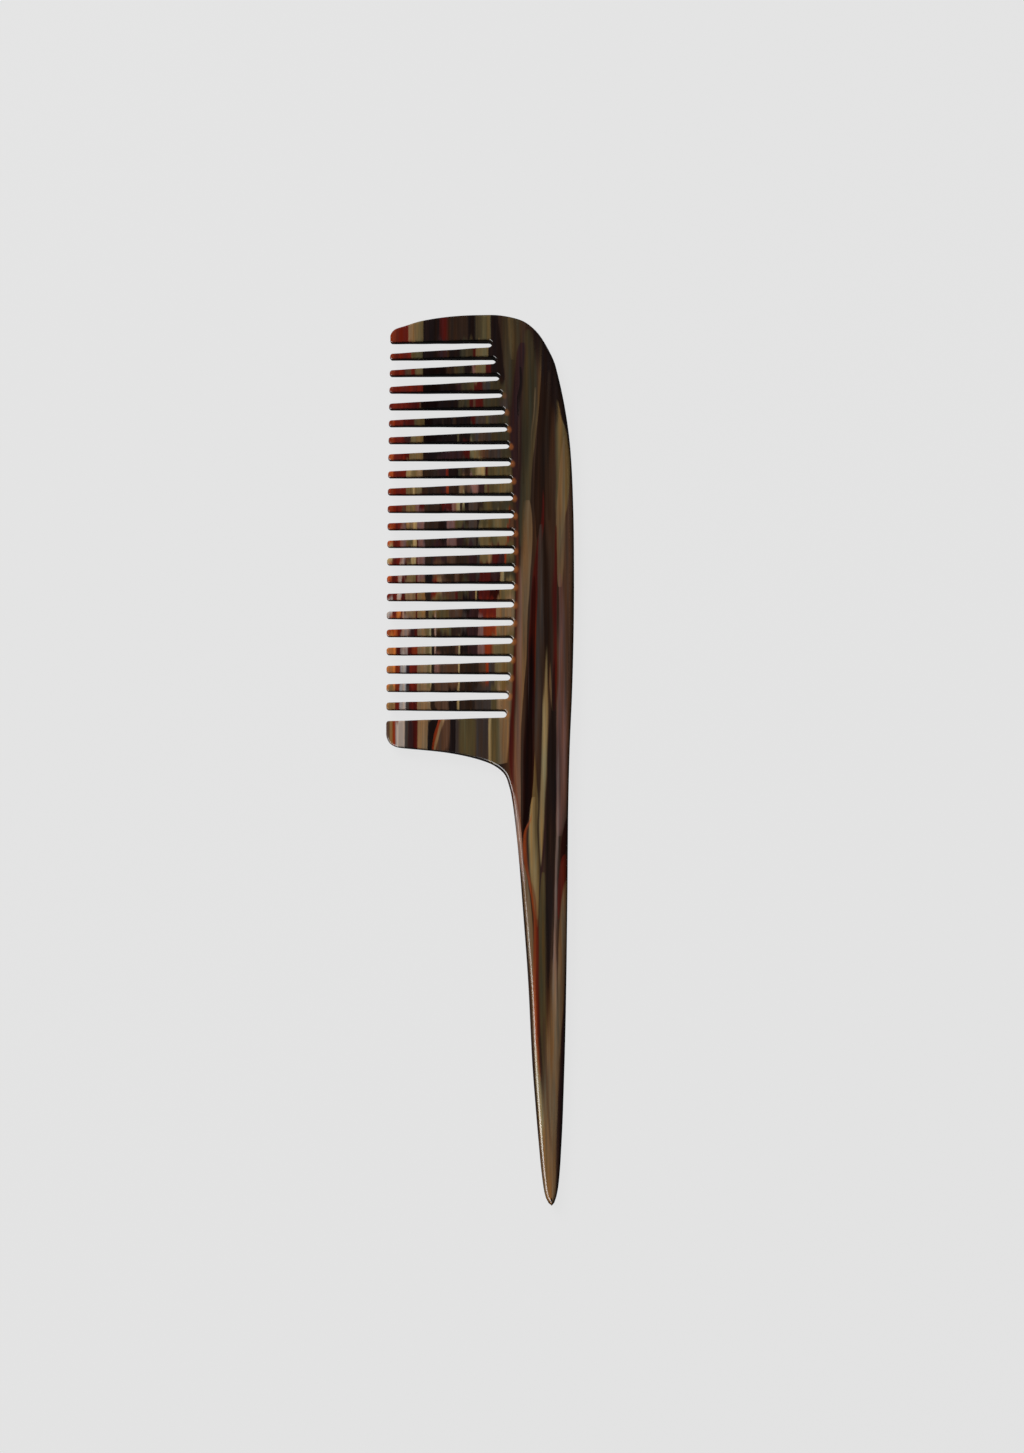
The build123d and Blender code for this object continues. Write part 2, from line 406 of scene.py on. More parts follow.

# Dye at each band's left side, in mm across the comb, for rows of the toothed field from the head
# guard to the tail guard.  A third number softens the band's left side over that many mm.
# The first band of each row, over the thin tooth tips, is partly the layer's dye and partly painted glow for
# light shining through the tips.
FIELD = [
    (104, [(-24, "rust"), (-21.0, "brick", 1.5), (-18.0, "tan"), (-16.6, "khaki", 2), (-14.2, "soot"),
           (-12.5, "soot", 2), (-10.0, "oxblood", 0.9), (-8.3, "umber", 0.9), (-6.2, "umber", 0.5),
           (-3.2, "soot", 0.4), (-1.4, "moss", 0.5), (0.2, "olive", 1), (2.4, "soot"), (5.2, "moss", 0.4)]),
    (97.5, [(-24, "rust"), (-21.6, "brick", 0.5), (-19.6, "brick", 1), (-17.3, "olive"), (-14.4, "soot"),
            (-10.4, "plum", 1.0), (-8.4, "umber"), (-7.9, "soot", 0.3), (-5.0, "moss", 1),
            (-2.0, "oxblood", 0.3), (-1.3, "khaki", 0.4), (1.8, "soot"), (5.5, "moss")]),
    (93.5, [(-24, "rust"), (-21.4, "brick", 0.4), (-18.8, "hazel", 0.4), (-17.3, "brick"), (-16.4, "khaki"),
            (-14.4, "pitch"), (-8.6, "umber", 0.6), (-6.6, "moss", 0.5), (-4.2, "soot", 0.6),
            (-2.2, "rose", 0.4), (-1.4, "khaki", 0.4), (1.2, "oxblood", 0.3), (2.4, "soot"),
            (4.6, "soot")]),
    (89.5, [(-24, "rust"), (-21.9, "brick", 0.4), (-15.8, "brick", 0.4), (-14.4, "pitch"),
            (-10.0, "soot", 0.8), (-6.0, "plum", 0.6), (-4.8, "moss", 0.6), (-2.6, "olive", 0.4),
            (-1.7, "oxblood", 0.3), (0.4, "smoke", 0.4), (2.2, "moss", 0.3), (4.6, "moss", 0.5)]),
    (85.5, [(-24, "brick"), (-21.9, "brick", 0.4), (-18.0, "oxblood", 1.5), (-15.3, "hazel"),
            (-14.9, "pitch", 0.3), (-10.4, "soot", 0.6), (-8.2, "soot", 0.5), (-5.6, "moss", 0.5),
            (-2.9, "oxblood"), (-2.0, "hazel"), (-1.3, "oxblood"), (0.5, "moss", 0.4), (2.6, "moss", 1),
            (4.6, "smoke", 0.5)]),
    (81.5, [(-24, "rust"), (-21.5, "brick", 0.4), (-19.2, "oxblood", 0.5), (-16.4, "olive", 0.4),
            (-15.2, "olive"), (-14.0, "pitch"), (-11.8, "soot", 0.3), (-9.6, "umber"), (-9.3, "soot"),
            (-7.0, "umber", 0.3), (-6.2, "soot", 0.4), (-2.6, "oxblood", 0.3), (-1.4, "smoke", 0.4),
            (1.2, "olive"), (2.0, "smoke", 0.5), (4.2, "moss", 1)]),
    (77.5, [(-24, "rust"), (-21.7, "brick", 0.4), (-19.2, "plum", 0.3), (-17.4, "khaki"), (-14.2, "pitch"),
            (-9.6, "soot", 0.6), (-5.8, "olive"), (-5.4, "soot"), (-2.6, "moss", 0.3), (-1.6, "smoke", 0.8),
            (0.6, "smoke", 0.8), (2.4, "moss", 0.5), (5.0, "moss", 1)]),
    (73.5, [(-24, "ember"), (-21.7, "brick", 0.4), (-19.6, "oxblood", 0.4), (-17.8, "khaki"),
            (-14.2, "soot"), (-9.6, "plum", 1), (-4.4, "oxblood", 0.6), (-2.7, "khaki"),
            (-0.4, "hazel", 1.5), (2.0, "smoke", 0.8), (5.0, "moss", 0.6)]),
    (69, [(-24, "ember"), (-21.7, "brick", 0.4), (-18.4, "cream"), (-17.2, "khaki", 0.4),
          (-15.8, "tan", 0.6), (-14.4, "umber"), (-10.6, "plum", 0.6), (-8.6, "brick"), (-8.1, "soot"),
          (-5.6, "moss", 0.3), (-4.6, "smoke"), (-4.0, "umber"), (-2.6, "olive", 0.3), (-1.0, "cream", 1),
          (0.9, "oxblood", 0.3), (1.6, "olive", 0.5)]),
    (65, [(-24, "rust"), (-21.6, "brick", 0.4), (-18.4, "khaki"), (-16.8, "cream"), (-16.4, "khaki", 0.3),
          (-14.6, "umber"), (-10.0, "plum", 0.6), (-8.6, "rust"), (-8.0, "umber"), (-5.4, "tan", 0.4),
          (-4.2, "hazel", 0.5), (-2.6, "rose", 0.3), (-0.6, "plum", 0.5), (0.8, "khaki"), (1.4, "hazel"),
          (2.0, "olive"), (4.4, "khaki", 1)]),
    (61, [(-24, "rust"), (-21.8, "brick", 0.4), (-18.4, "khaki"), (-16.2, "rose"), (-15.2, "oxblood"),
          (-14.0, "umber", 0.3), (-9.8, "oxblood", 0.5), (-7.2, "rose", 0.3), (-6.2, "cream", 0.4),
          (-5.2, "umber"), (-4.6, "cream"), (-4.1, "soot"), (-3.0, "smoke", 0.4), (-0.8, "umber", 0.5),
          (0.6, "olive", 0.5), (2.6, "moss", 0.6)]),
    (57, [(-24, "rust"), (-21.2, "brick", 0.4), (-19.6, "hazel", 0.4), (-18.4, "tan", 0.3),
          (-16.7, "cream"), (-15.8, "rose"), (-14.0, "umber", 0.3), (-10.2, "soot", 0.3),
          (-8.4, "rose", 0.3), (-6.5, "olive", 0.4), (-4.0, "umber", 0.3), (-3.0, "smoke", 0.3),
          (-0.9, "soot", 0.3), (-0.4, "olive"), (3.0, "khaki", 1), (5.0, "olive", 0.5), (6.9, "rust"),
          (7.2, "hazel")]),
    (53, [(-24, "ember"), (-21.6, "brick", 0.4), (-19.8, "rose", 0.5), (-18.4, "olive", 0.3),
          (-16.8, "cream"), (-15.8, "oxblood"), (-15.4, "rose"), (-14.0, "umber", 0.3),
          (-10.4, "soot", 0.3), (-8.4, "rose", 0.3), (-6.2, "plum", 0.5), (-4.2, "moss", 0.4),
          (-3.0, "smoke", 0.3), (-1.1, "soot", 0.3), (-0.6, "khaki", 0.3), (2.0, "olive", 0.5),
          (4.0, "khaki", 0.5), (6.3, "rust"), (6.8, "hazel")]),
    (48.5, [(-24, "cream"), (-21.7, "brick", 0.3), (-19.8, "rose", 0.5), (-18.6, "hazel", 0.4),
            (-17.2, "cream"), (-16.0, "oxblood"), (-15.6, "rose"), (-13.8, "umber", 0.3),
            (-11.8, "plum", 0.4), (-8.4, "hazel", 0.3), (-6.4, "umber", 0.5), (-3.0, "plum", 0.4),
            (-0.9, "smoke"), (-0.2, "khaki", 0.3), (1.8, "tan", 0.4), (2.6, "oxblood", 0.3),
            (4.4, "plum", 0.5), (5.8, "rust"), (6.2, "olive")]),
    (44, [(-24, "ember"), (-21.9, "brick", 0.3), (-20.4, "blush", 0.3), (-18.8, "oxblood", 0.3),
          (-18.2, "khaki", 0.3), (-16.0, "oxblood"), (-15.6, "rose"), (-13.8, "soot"),
          (-11.8, "hazel", 0.5), (-9.0, "umber", 0.5), (-6.6, "hazel", 0.5), (-5.4, "umber", 0.4),
          (-3.0, "plum", 0.3), (-1.0, "smoke", 0.3), (-0.2, "oxblood"), (2.4, "plum", 0.3), (4.8, "cream"),
          (5.6, "moss", 0.4)]),
    (39.7, [(-24, "brick"), (-20.6, "pearl"), (-19.5, "oxblood", 0.4), (-18.6, "tan", 0.4),
            (-16.0, "oxblood"), (-15.6, "amber"), (-13.8, "umber", 0.3), (-12.2, "brick", 0.3),
            (-10.8, "tan", 0.3), (-9.6, "hazel", 0.4), (-6.4, "oxblood"), (-5.8, "moss", 0.3),
            (-3.0, "plum", 0.4), (-1.2, "cream"), (-0.8, "soot"), (-0.5, "oxblood"), (2.2, "clot", 0.3),
            (4.6, "khaki")]),
    (35.4, [(-24, "pearl"), (-21.7, "brick", 0.3), (-20.6, "flare", 0.3), (-19.6, "oxblood", 0.3),
            (-18.5, "tan", 0.4), (-16.0, "oxblood"), (-15.6, "amber"), (-13.6, "umber"), (-12.8, "khaki"),
            (-10.6, "olive", 0.6), (-8.0, "hazel", 0.5), (-4.6, "soot", 0.4), (-2.6, "plum", 0.3),
            (-0.3, "brick", 0.3), (1.6, "brick", 0.6), (3.8, "tan"), (5.8, "tan", 0.8)]),
    (31, [(-24, "ember"), (-20.4, "brick", 0.3), (-19.3, "blush", 0.4), (-17.6, "plum", 0.8),
          (-16.2, "oxblood"), (-15.6, "tan"), (-13.8, "khaki", 0.3), (-12.5, "cream"), (-12.1, "umber"),
          (-11.4, "blush"), (-11.0, "olive"), (-7.4, "umber", 0.4), (-5.0, "smoke"), (-3.6, "plum", 0.3),
          (-0.6, "rose"), (0.7, "rust"), (3.4, "ember"), (3.8, "tan"), (5.6, "tan", 0.6)]),
    (26.6, [(-24, "flare"), (-20.8, "oxblood", 0.4), (-19.7, "blush", 0.3), (-18.0, "oxblood"),
            (-17.0, "rust", 0.3), (-15.6, "tan"), (-13.6, "khaki"), (-12.4, "cream"), (-12.0, "umber"),
            (-11.3, "blush"), (-10.9, "umber"), (-6.2, "hazel", 0.4), (-5.5, "cream"), (-5.1, "soot"),
            (-3.2, "plum", 0.3), (-0.8, "rose", 0.3), (1.0, "rust"), (2.8, "khaki", 0.4),
            (4.6, "khaki", 0.6)]),
    (20, [(-24, "flare"), (-21.0, "rust", 0.4), (-19.7, "pearl", 0.3), (-18.4, "plum", 0.3),
          (-17.6, "brick", 0.3), (-15.6, "tan"), (-13.2, "khaki"), (-12.4, "cream"), (-12.0, "umber"),
          (-11.3, "rose"), (-10.2, "hazel", 0.4), (-5.6, "cream"), (-5.2, "umber"), (-0.4, "hazel", 0.4),
          (1.2, "rust"), (2.0, "smoke", 0.3), (3.4, "khaki", 0.3)]),
    (13, [(-24, "amber"), (-21.0, "brick", 0.3), (-19.9, "pearl", 0.4), (-18.4, "smoke", 0.3),
          (-17.7, "oxblood"), (-15.6, "tan"), (-13.2, "tan"), (-12.3, "umber"), (-11.2, "hazel"),
          (-8.0, "soot", 0.4), (-5.8, "cream"), (-5.3, "umber"), (-1.6, "smoke", 0.4), (2.6, "olive", 0.3),
          (4.0, "tan", 0.6)]),
    (5, [(-24, "hazel"), (-22.4, "amber", 0.4), (-21.6, "rust", 0.3), (-20.8, "pearl", 0.4),
         (-18.6, "smoke", 0.3), (-17.8, "plum", 0.3), (-16.6, "oxblood", 0.4), (-15.5, "tan"),
         (-12.9, "soot"), (-11.3, "rust"), (-10.6, "tan", 0.3), (-9.9, "hazel", 0.3), (-7.6, "soot", 0.4),
         (-6.2, "smoke"), (-5.2, "olive", 0.6), (-1.4, "smoke", 0.8), (2.0, "cream"), (2.6, "olive", 0.4),
         (4.6, "tan", 1)]),
]

# Flames of the spine and tail: dye, strength, how soft the left and right edges are (mm), and the
# course from the head down as height, middle and half width (mm).
FLAMES = [
    ("moss", 0.8, (1.5, 2.0), [(108, 7.5, 2.2), (100, 7.5, 2.0), (92, 7.2, 1.0), (84, 7.0, 0)]),
    ("khaki", 0.4, (0.5, 1.2), [(108, 7.0, 0.3), (102, 7.4, 0.5), (96, 7.6, 0)]),
    ("moss", 1.0, (1.2, 1.0), [(104, 11.5, 0), (96, 12.0, 1.4), (88, 12.0, 1.5), (80, 11.6, 1.4),
                               (72, 11.2, 1.2), (62, 10.4, 1.0), (50, 10.0, 0)]),
    ("plum", 0.9, (0.5, 0.9), [(101, 10.2, 0), (97, 9.8, 1.1), (92, 9.2, 1.0), (86, 8.7, 1.0),
                               (78, 8.6, 1.3), (68, 8.9, 1.0), (58, 9.2, 0)]),
    ("soot", 0.9, (0.2, 0.8), [(95, 9.6, 0), (91, 9.9, 0.4), (87, 9.4, 0.4), (82, 9.2, 0)]),
    ("smoke", 0.9, (0.15, 0.4), [(88, 9.3, 0), (82, 9.4, 0.12), (74, 9.4, 0.12), (66, 9.3, 0)]),
    ("tan", 0.6, (0.5, 0.3), [(90, 13.3, 0), (84, 13.0, 0.16), (78, 12.4, 0.1), (72, 12.0, 0)]),
    ("pitch", 0.7, (0.3, 1.5), [(104, 15.0, 0), (96, 16.4, 1.4), (86, 16.0, 1.8), (76, 15.2, 1.6),
                                (66, 14.6, 1.6), (56, 14.6, 1.2), (44, 15.8, 1.0), (30, 16.3, 0.8),
                                (16, 16.0, 0)]),
    ("soot", 0.8, (2.0, 0.5), [(110, 14.0, 2.5), (100, 15.5, 2.5), (90, 17.8, 2.2), (80, 20.5, 1.0),
                               (72, 22.0, 0)]),
    ("umber", 0.8, (0.7, 0.9), [(94, 16.6, 0), (86, 16.4, 0.4), (76, 16.0, 0.5), (66, 16.2, 0.5),
                                (56, 16.6, 0)]),
    ("khaki", 0.5, (1.6, 0.25), [(97, 14.6, 0.1), (88, 14.2, 0.2), (80, 13.3, 0.4), (68, 11.9, 0.5),
                                 (60, 11.6, 0.5), (50, 11.6, 0)]),
    ("tan", 0.75, (1.6, 0.25), [(62, 11.6, 0), (52, 11.6, 1.1), (44, 11.0, 1.2), (34, 10.4, 1.2),
                                (22, 9.9, 1.2), (12, 9.4, 0.8), (0, 8.8, 0.9), (-12, 9.0, 0.6),
                                (-22, 9.6, 0)]),
    ("rose", 0.5, (1.0, 0.4), [(46, 9.6, 0), (34, 9.6, 0.5), (20, 9.4, 0.6), (8, 9.2, 0.6), (-6, 9.0, 0.6),
                               (-16, 9.3, 0)]),
    ("rust", 0.4, (0.7, 0.7), [(60, 8.8, 0), (52, 9.0, 0.25), (40, 8.9, 0.3), (28, 8.6, 0.3),
                               (18, 8.0, 0.4), (4, 7.6, 0.6), (-6, 7.9, 0.7), (-14, 8.9, 0.6),
                               (-22, 9.9, 0.3), (-28, 10.8, 0)]),
    ("oxblood", 0.85, (0.3, 0.7), [(26, 8.2, 0), (16, 7.9, 0.5), (6, 7.5, 0.6), (-2, 7.5, 0.4),
                                   (-8, 8.0, 0)]),
    ("khaki", 0.9, (0.9, 0.4), [(87, 18.6, 0), (82, 19.2, 0.5), (76, 19.8, 1.4), (66, 20.0, 1.6),
                                (58, 19.6, 1.1), (50, 19.0, 0.4), (44, 18.8, 0)]),
    ("tan", 0.7, (0.3, 0.8), [(78, 20.4, 0), (72, 20.0, 0.5), (64, 19.6, 0.8), (56, 19.5, 1.1),
                              (48, 19.4, 1.0), (40, 19.2, 0)]),
    ("hazel", 0.9, (0.7, 0.5), [(68, 22.2, 0), (58, 21.7, 0.7), (48, 21.4, 0.9), (34, 20.4, 1.4),
                                (18, 20.0, 1.6), (0, 20.0, 1.6), (-12, 20.0, 1.4), (-20, 20.4, 0.6),
                                (-26, 20.6, 0)]),
    ("rose", 0.6, (0.25, 1.2), [(44, 19.2, 0), (34, 19.6, 0.6), (24, 19.6, 0.6), (12, 19.5, 1.0),
                                (0, 19.5, 1.2), (-10, 19.3, 1.1), (-20, 18.8, 0)]),
    ("oxblood", 0.9, (0.5, 0.3), [(66, 15.2, 0), (58, 15.2, 0.3), (50, 14.2, 0.6), (42, 13.5, 0.8),
                                  (34, 13.0, 0.8), (26, 12.6, 0.8), (16, 12.4, 0.7), (8, 12.6, 0)]),
    ("clot", 0.8, (0.6, 0.4), [(44, 13.2, 0), (34, 12.9, 0.6), (24, 12.6, 0.8), (14, 12.2, 1.0),
                               (4, 11.8, 1.3), (-6, 11.6, 1.4), (-14, 11.2, 0.8), (-20, 10.3, 0.15),
                               (-23, 10.2, 0)]),
    ("pitch", 0.9, (0.9, 0.5), [(30, 12.6, 0), (20, 12.2, 0.5), (8, 11.8, 0.8), (-4, 11.6, 1.0),
                                (-12, 11.4, 0.9), (-18, 10.6, 0.3), (-21, 10.2, 0)]),
    ("smoke", 0.7, (0.2, 0.2), [(28, 11.7, 0), (20, 11.8, 0.1), (12, 11.7, 0.08), (4, 11.6, 0)]),
    ("smoke", 0.9, (0.25, 1.0), [(56, 14.6, 0), (48, 14.6, 0.6), (36, 14.5, 0.7), (24, 14.2, 0.7),
                                 (12, 14.0, 0.6), (2, 13.6, 0.3), (-4, 13.4, 0)]),
    ("rust", 0.5, (0.3, 0.25), [(46, 13.6, 0), (36, 13.6, 0.08), (24, 13.3, 0.1), (12, 13.2, 0.06),
                                (4, 13.2, 0)]),
    ("cream", 0.75, (0.6, 0.6), [(28, 16.1, 0), (22, 16.0, 0.15), (16, 15.9, 0.35), (8, 15.7, 0.6),
                                 (-4, 15.4, 0.6), (-12, 15.0, 0.6), (-20, 14.7, 0.4), (-28, 14.8, 0)]),
    ("tan", 0.6, (0.2, 0.3), [(23, 16.9, 0), (19, 16.9, 0.15), (15, 17.0, 0.2), (10, 17.3, 0)]),
    ("oxblood", 0.9, (0.7, 0.25), [(56, 18.4, 0), (48, 18.2, 0.4), (38, 17.9, 0.5), (28, 18.0, 0.4),
                                   (18, 18.0, 0.5), (10, 17.8, 0)]),
    ("soot", 0.75, (0.5, 0.4), [(24, 17.9, 0), (14, 17.7, 0.5), (4, 17.4, 0.9), (-8, 17.2, 1.0),
                                (-20, 16.9, 1.0), (-32, 16.8, 0.9), (-42, 16.6, 0.6), (-52, 16.3, 0.3),
                                (-58, 16.2, 0)]),
    ("khaki", 0.9, (0.25, 0.5), [(2, 13.3, 0), (-6, 13.2, 0.35), (-12, 13.2, 0.8), (-18, 12.7, 1.0),
                                 (-26, 13.0, 1.2), (-32, 13.3, 0.9), (-38, 13.5, 0.5), (-42, 13.7, 0)]),
    ("cream", 0.65, (0.4, 1.2), [(-10, 12.9, 0), (-16, 12.4, 0.6), (-26, 12.8, 0.7), (-34, 13.2, 0.5),
                                 (-40, 13.5, 0)]),
    ("plum", 0.8, (0.3, 0.3), [(-12, 15.9, 0), (-20, 15.6, 0.2), (-26, 15.0, 0.25), (-31, 14.6, 0.2),
                               (-36, 14.4, 0)]),
    ("olive", 0.8, (0.4, 0.6), [(-28, 15.2, 0), (-36, 15.0, 0.7), (-48, 14.9, 0.8), (-60, 15.0, 0.8),
                                (-72, 15.4, 0.7), (-80, 15.7, 0)]),
    ("tan", 0.9, (0.4, 0.4), [(-26, 10.0, 0), (-32, 10.8, 0.8), (-40, 11.6, 0.9), (-50, 12.2, 0.7),
                              (-60, 12.7, 0.5), (-68, 13.0, 0.5), (-76, 13.4, 0.5), (-84, 14.0, 0)]),
    ("ember", 0.75, (0.35, 0.7), [(-13, 12.7, 0), (-16, 12.0, 0.15), (-20, 10.7, 0.3), (-25, 10.8, 0.4),
                                  (-31, 11.9, 0.3), (-36, 12.7, 0.25), (-42, 13.2, 0.35), (-50, 13.1, 0.45),
                                  (-60, 13.1, 0.45), (-70, 13.5, 0.4), (-79, 14.1, 0)]),
    # partly painted highlight: this pale flame along the tail's left edge is a pale layer that also stands
    # in for the glint there
    ("blush", 0.9, (0.3, 0.4), [(-9, 8.0, 0), (-14, 8.6, 0.5), (-20, 9.2, 0.7), (-26, 9.8, 0.5),
                                (-32, 10.6, 0)]),
    ("brick", 0.7, (0.5, 0.8), [(-30, 12.2, 0), (-38, 13.4, 0.3), (-48, 13.7, 0.4), (-58, 13.7, 0.4),
                                (-68, 13.9, 0)]),
    ("clot", 0.9, (0.3, 0.4), [(-13, 21.6, 0), (-18, 20.8, 0.9), (-23, 19.9, 0.6), (-27, 19.4, 0)]),
    ("brick", 0.7, (0.3, 0.9), [(-24, 20.2, 0), (-28, 19.8, 0.8), (-34, 19.2, 0.6), (-40, 18.7, 0)]),
    ("blush", 0.6, (0.3, 0.6), [(4, 18.8, 0), (-8, 18.7, 0.2), (-20, 18.5, 0.25), (-32, 18.2, 0.25),
                                (-44, 17.9, 0.3), (-56, 17.8, 0.5), (-68, 17.6, 0)]),
    ("tan", 0.8, (0.6, 0.5), [(-30, 20.6, 0), (-38, 20.0, 0.7), (-48, 19.6, 0.8), (-58, 19.3, 0.7),
                              (-68, 18.9, 0.3), (-74, 18.7, 0)]),
    ("tan", 0.95, (2.0, 1.4), [(-48, 17.8, 0), (-58, 17.7, 0.6), (-68, 17.3, 1.2), (-76, 16.9, 1.7),
                               (-84, 16.4, 1.9), (-96, 16.2, 2.0), (-110, 16.2, 2.2)]),
    ("hazel", 0.6, (0.6, 0.6), [(-62, 15.2, 0), (-72, 15.4, 0.4), (-82, 15.9, 0.3), (-92, 16.6, 0.15),
                                (-98, 17.0, 0)]),
    # partly painted highlight: this cream flame along the tail's left edge is a pale layer brightened to
    # stand in for the soft highlight there
    ("cream", 0.95, (0.5, 0.9), [(-68, 13.0, 0), (-75, 13.4, 0.4), (-83, 14.0, 0.65), (-91, 14.7, 0.5),
                                 (-99, 15.3, 0)]),
    ("amber", 0.9, (0.4, 0.9), [(-88, 14.9, 0), (-96, 15.3, 0.5), (-104, 15.9, 0.7), (-110, 16.3, 0.7)]),
    ("plum", 0.8, (0.4, 0.5), [(-46, 20.9, 0), (-56, 20.6, 0.5), (-66, 20.1, 0.6), (-78, 19.4, 0.7),
                               (-90, 18.8, 0.7), (-100, 18.3, 0.5), (-110, 18.0, 0.4)]),
]


def linear(dye, share=1.0):
    """A dye's sRGB hex as linear light, scaled by share."""
    code = DYES[dye]
    channels = [int(code[i:i + 2], 16) / 255 for i in (0, 2, 4)]
    return [share * (c / 12.92 if c <= 0.04045 else ((c + 0.055) / 1.055) ** 2.4) for c in channels] + [1]


def add(tree, kind, feeds=(), **settings):
    """Adds a node with its settings and gives its first output.  What feeds its inputs comes in order
    or by name: a socket is linked and a value is set."""
    new = tree.nodes.new("ShaderNode" + kind)
    for name, value in settings.items():
        setattr(new, name, value)
    for key, feed in feeds.items() if isinstance(feeds, dict) else enumerate(feeds):
        if isinstance(feed, bpy.types.NodeSocket):
            tree.links.new(feed, new.inputs[key])
        else:
            new.inputs[key].default_value = feed
    return next(iter(new.outputs), None)


def streaky(tree, place, width, length, seed, detail=2.0):
    """Noise drawn out along the comb: width and length of its streaks in mm."""
    start = (seed * 7.3, seed * 3.1, seed)
    pull = add(tree, "Mapping", {"Vector": place, "Location": start,
                                 "Scale": (1 / width, 1 / length, 0.4 / width)})
    return add(tree, "TexNoise", {"Vector": pull, "Scale": 1.0, "Detail": detail})


def band_ramp(tree, across, bands):
    """The colours of one row of the toothed field, as a ramp over the comb's width."""
    ramp = add(tree, "ValToRGB", (add(tree, "MapRange", (across, FIELD_LEFT, FIELD_RIGHT)),))
    stops = [(bands[0][0] + 0.01, bands[0][1])]
    for before, band in zip(bands, bands[1:]):
        soft = band[2] if len(band) > 2 else BAND_SOFT
        stops += [(band[0] - soft / 2, before[1]), (band[0] + soft / 2, band[1])]
    colours = ramp.node.color_ramp.elements
    for x, dye in stops:
        colours.new((x - FIELD_LEFT) / (FIELD_RIGHT - FIELD_LEFT)).color = linear(dye)
    colours.remove(colours[0])
    colours.remove(colours[len(colours) - 1])
    return ramp


def row_colours(tree, across, bands):
    """A ramp holds no more than 32 stops, so each row is two ramps that meet inside one band."""
    half = len(bands) // 2
    left = band_ramp(tree, across, bands[:half + 1])
    right = band_ramp(tree, across, bands[half:])
    middle = (bands[half][0] + bands[half + 1][0]) / 2
    past_middle = add(tree, "Math", (across, middle), operation="GREATER_THAN")
    return add(tree, "MixRGB", (past_middle, left, right))


def toothed_field(tree, place, across, y):
    """Each row's ramp hands over to the next at a height that varies across the comb."""
    stagger = streaky(tree, place, 1.3, 400.0, 3, 1.0)
    turn = add(tree, "Math", (stagger, STAGGER, y), operation="MULTIPLY_ADD")
    colour = row_colours(tree, across, FIELD[0][1])
    for (above, _), (height, bands) in zip(FIELD, FIELD[1:]):
        switch = (above + height + STAGGER) / 2
        share = add(tree, "MapRange", (turn, switch + HANDOVER, switch - HANDOVER),
                    interpolation_type="SMOOTHSTEP")
        colour = add(tree, "MixRGB", (share, colour, row_colours(tree, across, bands)))
    return colour


def course(tree, along, points, column, high):
    """A float curve giving a flame's middle or half width from the height along the comb."""
    curve = add(tree, "FloatCurve", {"Value": along})
    mapping = curve.node.mapping
    line = mapping.curves[0]
    spots = sorted(((p[0] / COURSE_TOP + 1) / 2, p[column] / high) for p in points)
    line.points[0].location, line.points[1].location = spots[0], spots[-1]
    for spot in spots[1:-1]:
        line.points.new(*spot)
    mapping.update()
    return add(tree, "Math", (curve, high), operation="MULTIPLY")


def flame(tree, below, across, along, dye, strength, edges, points):
    """Lays one flame over what is below; it ends in a point where its half width runs out."""
    middle = course(tree, along, points, 1, WIDEST_MIDDLE)
    half = course(tree, along, points, 2, WIDEST_HALF)
    off = add(tree, "Math", (across, middle), operation="SUBTRACT")
    here = add(tree, "MapRange", (half, *POINT, 0.0, strength), interpolation_type="SMOOTHSTEP")
    for operation, soft in (("ADD", edges[0] / 2), ("SUBTRACT", edges[1] / 2)):
        inside = add(tree, "Math", (half, off), operation=operation)
        edge = add(tree, "MapRange", (inside, -soft, soft), interpolation_type="SMOOTHSTEP")
        here = add(tree, "Math", (here, edge), operation="MULTIPLY")
    return add(tree, "MixRGB", (here, below, linear(dye)))


def spine_and_tail(tree, place, across, along):
    """Flames over a brown ground."""
    streaks = add(tree, "MapRange", (streaky(tree, place, 1.6, 60.0, 4), 0.35, 0.65),
                  interpolation_type="SMOOTHSTEP")
    colour = add(tree, "MixRGB", (streaks, linear("umber"), linear("hazel", 0.6)))
    for each in FLAMES:
        colour = flame(tree, colour, across, along, *each)
    return colour


def layer_place(tree, place, x, y, z):
    """Where a layer comes out across the comb, mm: it leans through the thickness, wanders and ripples,
    and stands aslant in the tail guard."""
    across = add(tree, "Math", (x, -2 * HALF * LAYER_LEAN - (DRIFT + RIPPLE) / 2), operation="ADD")
    slow = streaky(tree, place, 5.0, 60.0, 1)
    fine = streaky(tree, place, 0.9, 16.0, 2)
    for feed, reach in ((z, LAYER_LEAN), (slow, DRIFT), (fine, RIPPLE)):
        across = add(tree, "Math", (feed, reach, across), operation="MULTIPLY_ADD")
    slant = add(tree, "Math", (y, -SLANT, SLANT * SLANT_Y), operation="MULTIPLY_ADD")
    for value, off, on in ((x, *SLANT_PATCH_X[0]), (x, *SLANT_PATCH_X[1]), (y, *SLANT_PATCH_Y)):
        near = add(tree, "MapRange", (value, off, on), interpolation_type="SMOOTHSTEP")
        slant = add(tree, "Math", (slant, near), operation="MULTIPLY")
    return add(tree, "Math", (across, slant), operation="ADD")


def past_crease(tree, across, y):
    """0 in the toothed field, 1 over the spine and tail, with the crease between them."""
    back = add(tree, "Math", (y, CREASE_Y), operation="SUBTRACT")
    bow = add(tree, "Math", (back, 2.0), operation="POWER")
    past = add(tree, "Math", (bow, 1 / (2 * CREASE_ARC), across), operation="MULTIPLY_ADD")
    below = add(tree, "MapRange", (y, *BELOW_TEETH), interpolation_type="SMOOTHSTEP")
    past = add(tree, "Math", (below, OVER_CREASE, past), operation="MULTIPLY_ADD")
    start, end = CREASE_PATTERN_X - CREASE_BLEND, CREASE_PATTERN_X + CREASE_BLEND
    return add(tree, "MapRange", (past, start, end), interpolation_type="SMOOTHSTEP")


